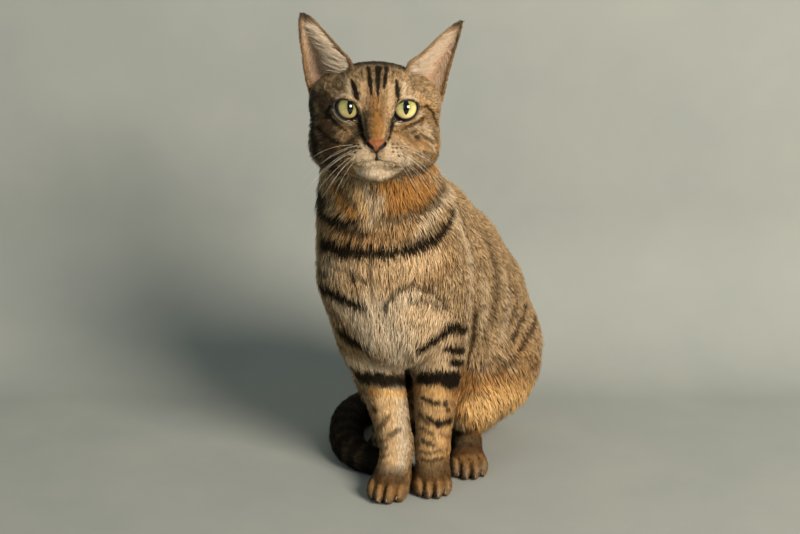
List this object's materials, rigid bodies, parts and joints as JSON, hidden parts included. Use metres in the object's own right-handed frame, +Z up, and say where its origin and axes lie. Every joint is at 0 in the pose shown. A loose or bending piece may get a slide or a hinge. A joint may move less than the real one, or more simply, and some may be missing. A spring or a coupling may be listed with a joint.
{
  "type": "sitting tabby cat figure",
  "caption": "Life-size adult tabby cat sitting upright with the forelegs together, tail curled round to one side and ears up.",
  "frame": {"origin": "centre of the bounding box's footprint, on the floor plane", "axes": "+Z up; the face and forelegs look toward -Y; the cat's left is +X"},
  "size_m": [0.2108, 0.2924, 0.41],
  "materials": {
    "fur_head": "short dense ticked fur, matte",
    "fur_ear": "thin short fur outside, pink skin inside",
    "eye": "wet gloss, yellow-green",
    "fur_leg": "short fur, matte",
    "fur_paw": "very short fur, matte",
    "fur_body": "short dense ticked fur, matte",
    "fur_chest": "longer soft fur, matte",
    "fur_tail": "dark ringed fur, matte"
  },
  "bodies": {
    "root": {"head": "fur_head", "ear_right": "fur_ear", "ear_left": "fur_ear", "eye_right": "eye", "eye_left": "eye", "forearm_right": "fur_leg", "forepaw_right": "fur_paw", "forearm_left": "fur_leg", "forepaw_left": "fur_paw", "hindfoot_left": "fur_paw", "hindfoot_right": "fur_paw", "thigh_left": "fur_body", "thigh_right": "fur_body", "neck": "fur_chest", "chest": "fur_chest", "loin": "fur_body", "rump": "fur_body", "tail_1": "fur_tail", "tail_2": "fur_tail", "tail_3": "fur_tail", "tail_4": "fur_tail", "tail_5": "fur_tail"}
  },
  "joints": []
}
